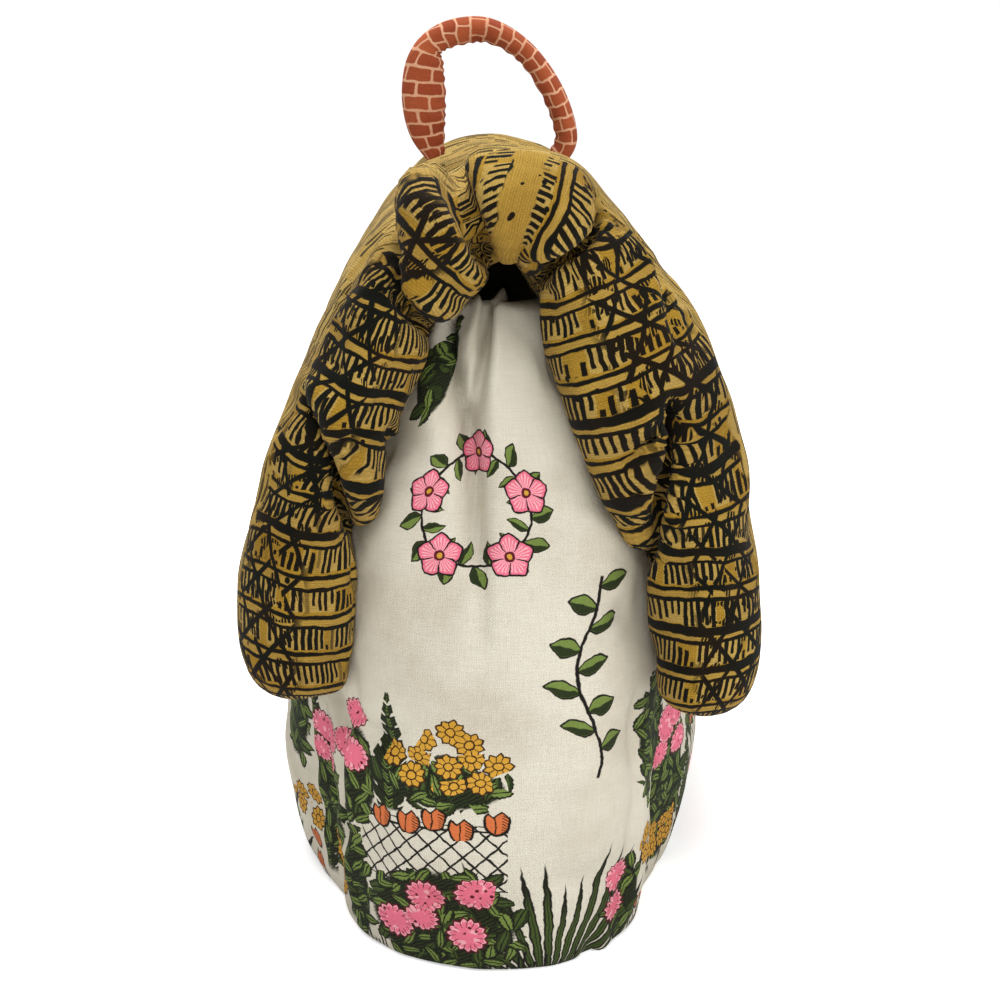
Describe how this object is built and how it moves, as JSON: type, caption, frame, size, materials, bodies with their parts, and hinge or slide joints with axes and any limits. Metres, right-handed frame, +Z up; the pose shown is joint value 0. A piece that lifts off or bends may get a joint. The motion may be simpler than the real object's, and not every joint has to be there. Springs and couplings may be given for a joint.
{
  "type": "tea cosy",
  "caption": "Padded cottage-shaped tea cosy with linen walls, an overhanging thatch-cloth roof and a stuffed loop handle; it stands on its hem over a teapot.",
  "frame": {"origin": "middle of the footprint, on the surface that the hem stands on", "axes": "+Z up through the loop handle, +Y along the ridge from the front gable to the back gable, +X across the gables to the right seen from the front"},
  "size_m": [0.1722, 0.2464, 0.2906],
  "materials": {
    "printed_linen": "off-white plain-weave linen with a printed garden border, padded, slightly soiled",
    "thatch_cloth": "mustard ribbed cotton printed with dark straw and course lines, thickly padded",
    "brick_cloth": "cotton printed with terracotta bricks and pale mortar lines, stuffed"
  },
  "bodies": {
    "root": {"gable_front": "printed_linen", "gable_back": "printed_linen", "side_left": "printed_linen", "side_right": "printed_linen", "thatch": "thatch_cloth", "loop": "brick_cloth"}
  },
  "joints": []
}
